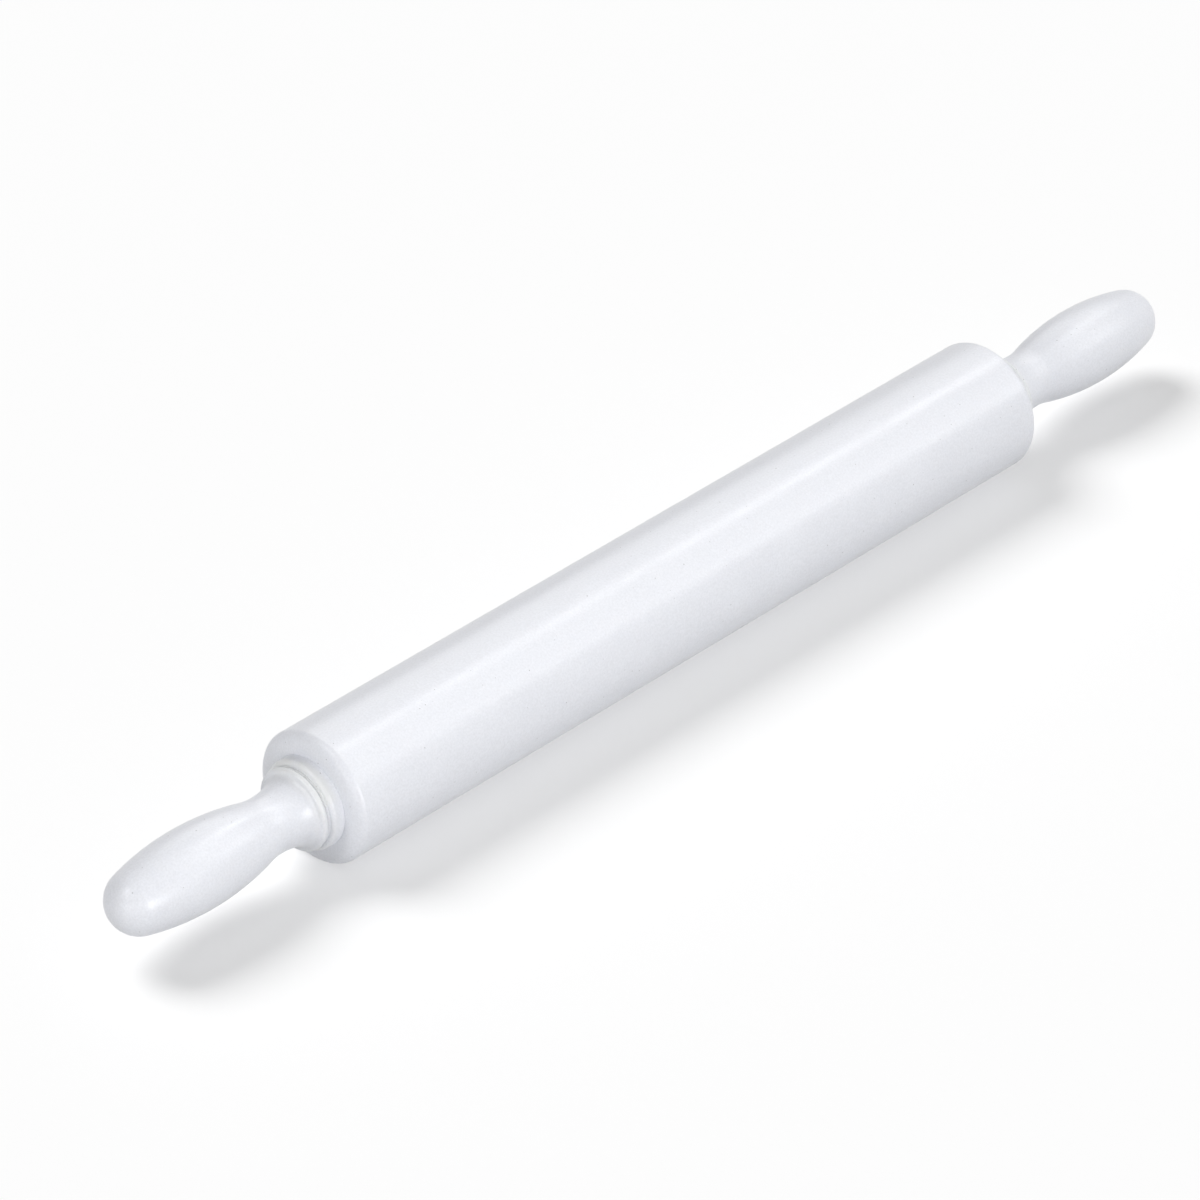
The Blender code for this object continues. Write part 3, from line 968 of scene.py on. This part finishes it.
def towards(azimuth, elevation):
    """The direction of a lamp or camera seen from the pin, with azimuth 0 on the -Y side."""
    flat = math.cos(elevation)
    return Vector((math.sin(azimuth) * flat, -math.cos(azimuth) * flat, math.sin(elevation)))


def link_to_scene(context, obj):
    """Puts a new object in the scene and gives it back."""
    context.scene.collection.objects.link(obj)
    return obj


def new_soft_lamp(context, name, start, end, width, share):
    """A rectangular lamp that faces the pin's middle."""
    middle = (Vector(start) + Vector(end)) / 2
    back = middle - Vector((0.0, 0.0, AXIS_HEIGHT))
    distance = back.length
    back.normalize()
    along = Vector(end) - Vector(start)
    along -= back * along.dot(back)
    lamp = bpy.data.lights.new(name, "AREA")
    lamp.shape = "RECTANGLE"
    lamp.size = along.length
    lamp.size_y = width
    # A lamp of this power makes a white surface that faces it as bright as the share says.
    lamp.energy = share * (math.pi * distance) ** 2
    soft = link_to_scene(context, bpy.data.objects.new(name, lamp))
    along.normalize()
    turned = Matrix((along, back.cross(along), back)).transposed().to_4x4()
    soft.matrix_world = Matrix.Translation(middle) @ turned
    return soft


def new_floor_lamp(context, name, share, shadows):
    """A distant lamp behind the pin. Where it throws shadows, the pin's falls towards the camera."""
    lamp = bpy.data.lights.new(name, "SUN")
    # At this strength the slanting light makes a white floor as bright as the share says.
    lamp.energy = share * math.pi / math.sin(SHADOW_ELEVATION)
    lamp.angle = SHADOW_WIDTH
    lamp.use_shadow = shadows
    sun = link_to_scene(context, bpy.data.objects.new(name, lamp))
    sun.rotation_euler = towards(SHADOW_AZIMUTH, SHADOW_ELEVATION).to_track_quat("Z", "Y").to_euler()
    return sun


def light_only(lamp, name, objects):
    """Makes a lamp light these objects and nothing else."""
    receivers = bpy.data.collections.new(name)
    for obj in objects:
        receivers.objects.link(obj)
    lamp.light_linking.receiver_collection = receivers


def seen_ray(tree):
    """1 for a ray that shows a surface to the camera, also by way of metal or glass."""
    rays = add_node(tree, "ShaderNodeLightPath").outputs
    seen = compute(tree, "MAXIMUM", rays["Is Camera Ray"], rays["Is Glossy Ray"])
    return compute(tree, "MAXIMUM", seen, rays["Is Transmission Ray"])


class ROLLING_PIN_OT_barrel(bpy.types.Operator):
    """Turns the barrel"""

    bl_idname = "rolling_pin.barrel"
    bl_label = "Turn Barrel"

    def execute(self, context):
        sizes = context.scene.turned_sizes
        material = polyethylene(context.scene.finishes)
        barrel = turned_piece("turned_barrel", barrel_outline(sizes), sizes.segments, material)
        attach(barrel, "barrel")
        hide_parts("barrel")
        return {"FINISHED"}


class ROLLING_PIN_OT_end_caps(bpy.types.Operator):
    """Turns the end caps, which carry the bearings and turn with the barrel"""

    bl_idname = "rolling_pin.end_caps"
    bl_label = "Turn End Caps"

    def execute(self, context):
        sizes = context.scene.turned_sizes
        material = polyethylene(context.scene.finishes)
        points = cap_outline(sizes)
        for side, placed in (("right", points), ("left", mirrored(points))):
            cap = turned_piece(f"turned_{side}_end_cap", placed, sizes.segments, material)
            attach(cap, "barrel")
            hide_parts(f"{side}_end_cap")
        return {"FINISHED"}


class ROLLING_PIN_OT_handles(bpy.types.Operator):
    """Turns the handles, which stay still on the axle"""

    bl_idname = "rolling_pin.handles"
    bl_label = "Turn Handles"

    def execute(self, context):
        sizes = context.scene.turned_sizes
        material = polyethylene(context.scene.finishes)
        points = handle_outline(sizes)
        for side, placed in (("right", points), ("left", mirrored(points))):
            handle = turned_piece(f"turned_{side}_handle", placed, sizes.segments, material)
            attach(handle, "axle")
            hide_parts(f"{side}_handle")
        return {"FINISHED"}


class ROLLING_PIN_OT_bearings(bpy.types.Operator):
    """Finishes the races, balls, cages and seals of both bearings"""

    bl_idname = "rolling_pin.bearings"
    bl_label = "Finish Bearings"

    def execute(self, context):
        finishes = context.scene.finishes
        steel = plain_finish("ground_steel", finishes.bearing, *GROUND_STEEL)
        nylon = plain_finish("moulded_nylon", finishes.nylon, *MOULDED_NYLON)
        rubber = plain_finish("moulded_rubber", finishes.rubber, *MOULDED_RUBBER)
        balls = [f"bearing_ball_{number}" for number in range(1, BALL_COUNT + 1)]
        finish_nodes(both_ends("bearing_inner_race", "bearing_outer_race", *balls), steel)
        finish_nodes(both_ends("bearing_cage"), nylon)
        finish_nodes(both_ends("bearing_inboard_seal", "bearing_outboard_seal"), rubber)
        return {"FINISHED"}


class ROLLING_PIN_OT_axle(bpy.types.Operator):
    """Finishes the axle and what is threaded on it"""

    bl_idname = "rolling_pin.axle"
    bl_label = "Finish Axle"

    def execute(self, context):
        finishes = context.scene.finishes
        steel = plain_finish("turned_steel", finishes.steel, *TURNED_STEEL)
        brass = plain_finish("turned_brass", finishes.brass, *TURNED_BRASS)
        finish_nodes(["axle_rod"] + both_ends("spacer_sleeve", "lock_washer", "lock_nut"), steel)
        finish_nodes(both_ends("threaded_insert"), brass)
        return {"FINISHED"}


def make_floor(context, colour, bounce):
    """A wide pale floor with a faint grain. It keeps the pin's shadow and throws little light back."""
    material, tree, shader = new_material("pale_floor", colour, FLOOR_ROUGHNESS)
    shader.inputs["Specular IOR Level"].default_value = 0.0
    place = add_node(tree, "ShaderNodeTexCoord").outputs["Object"]
    grain = noise(tree, place, FLOOR_GRAIN_SCALE, detail=3.0)
    tree.links.new(bump(tree, grain, FLOOR_GRAIN_HEIGHT), shader.inputs["Normal"])
    seen = blend(tree, grain, scaled(colour, FLOOR_DARKEST), colour)
    base = blend(tree, seen_ray(tree), scaled(colour, bounce), seen)
    tree.links.new(base, shader.inputs["Base Color"])
    mesh = bpy.data.meshes.new("floor")
    half = FLOOR_SIZE / 2
    corners = [(-half, -half, 0.0), (half, -half, 0.0), (half, half, 0.0), (-half, half, 0.0)]
    mesh.from_pydata(corners, [], [(0, 1, 2, 3)])
    mesh.materials.append(material)
    floor = link_to_scene(context, bpy.data.objects.new("floor", mesh))
    return floor


def white_room(context, strength):
    """Light from all round, which is plain white where the camera or a reflection sees it."""
    world = bpy.data.worlds.new("white_room")
    world.use_nodes = True
    tree = world.node_tree
    background = tree.nodes["Background"].inputs
    background["Color"].default_value = (1.0, 1.0, 1.0, 1.0)
    tree.links.new(remap(tree, seen_ray(tree), 0.0, 1.0, strength, 1.0), background["Strength"])
    context.scene.world = world


def place_camera(context, staging):
    """A camera at the photograph's angle, with the pin's middle on its pixel of the photograph."""
    lens = bpy.data.cameras.new("camera")
    lens.sensor_width = SENSOR_WIDTH
    lens.lens = staging.focal_pixels * SENSOR_WIDTH / PHOTO_PIXELS
    back = towards(staging.azimuth, staging.elevation)
    right = Vector((math.cos(staging.azimuth), math.sin(staging.azimuth), 0.0))
    up = back.cross(right)
    scale = staging.distance / staging.focal_pixels
    across = (staging.middle_pixel[0] - PHOTO_PIXELS / 2) * scale
    down = (staging.middle_pixel[1] - PHOTO_PIXELS / 2) * scale
    camera = link_to_scene(context, bpy.data.objects.new("camera", lens))
    place = Vector((0.0, 0.0, AXIS_HEIGHT)) - right * across + up * down + back * staging.distance
    camera.matrix_world = Matrix.Translation(place) @ Matrix((right, up, back)).transposed().to_4x4()
    context.scene.camera = camera


class ROLLING_PIN_OT_stage(bpy.types.Operator):
    """Sets up the floor, the lamps and the camera"""

    bl_idname = "rolling_pin.stage"
    bl_label = "Set Up Stage"

    def execute(self, context):
        staging = context.scene.staging
        context.scene.view_settings.view_transform = "Standard"
        pieces = [obj for obj in context.scene.objects if obj.type == "MESH"]
        floor = make_floor(context, tuple(staging.floor), staging.floor_bounce)
        white_room(context, staging.room_light)
        place_camera(context, staging)

        for name, (start, end, width, share) in SOFT_LAMPS.items():
            lamp = new_soft_lamp(context, name, start, end, width, share * staging.lamp_light)
            light_only(lamp, f"{name}_lights", pieces)
        shadow = new_floor_lamp(context, "shadow", staging.shadow_light, True)
        light_only(shadow, "shadow_lights", [floor])
        # What the floor still lacks of plain white comes from a lamp that throws no shadow.
        rest = max(0.0, 1.0 - staging.room_light - staging.shadow_light)
        light_only(new_floor_lamp(context, "floor_fill", rest, False), "floor_fill_lights", [floor])
        return {"FINISHED"}


class ROLLING_PIN_PT_panel(bpy.types.Panel):
    """Sizes, finishes and steps of the rolling pin"""

    bl_idname = "ROLLING_PIN_PT_panel"
    bl_label = "Rolling Pin"
    bl_space_type = "VIEW_3D"
    bl_region_type = "UI"
    bl_category = "Rolling Pin"

    def draw(self, context):
        for group in (context.scene.turned_sizes, context.scene.finishes, context.scene.staging):
            box = self.layout.box()
            for name in group.bl_rna.properties.keys():
                if name not in ("rna_type", "name"):
                    box.prop(group, name)
        for step in STEPS:
            self.layout.operator(step.bl_idname)


STEPS = (
    ROLLING_PIN_OT_barrel,
    ROLLING_PIN_OT_end_caps,
    ROLLING_PIN_OT_handles,
    ROLLING_PIN_OT_bearings,
    ROLLING_PIN_OT_axle,
    ROLLING_PIN_OT_stage,
)
GROUPS = {"turned_sizes": TurnedSizes, "finishes": Finishes, "staging": Staging}


def register():
    """Adds the settings, the steps and the panel to Blender."""
    for made in (*GROUPS.values(), *STEPS, ROLLING_PIN_PT_panel):
        bpy.utils.register_class(made)
    for name, group in GROUPS.items():
        setattr(bpy.types.Scene, name, PointerProperty(type=group))


def unregister():
    """Takes them out again."""
    for name in GROUPS:
        delattr(bpy.types.Scene, name)
    for made in (ROLLING_PIN_PT_panel, *reversed(STEPS), *reversed(GROUPS.values())):
        bpy.utils.unregister_class(made)


def main():
    """Builds the scene step by step."""
    register()
    bpy.ops.rolling_pin.barrel()
    bpy.ops.rolling_pin.end_caps()
    bpy.ops.rolling_pin.handles()
    bpy.ops.rolling_pin.bearings()
    bpy.ops.rolling_pin.axle()
    bpy.ops.rolling_pin.stage()


if __name__ == "__main__":
    main()
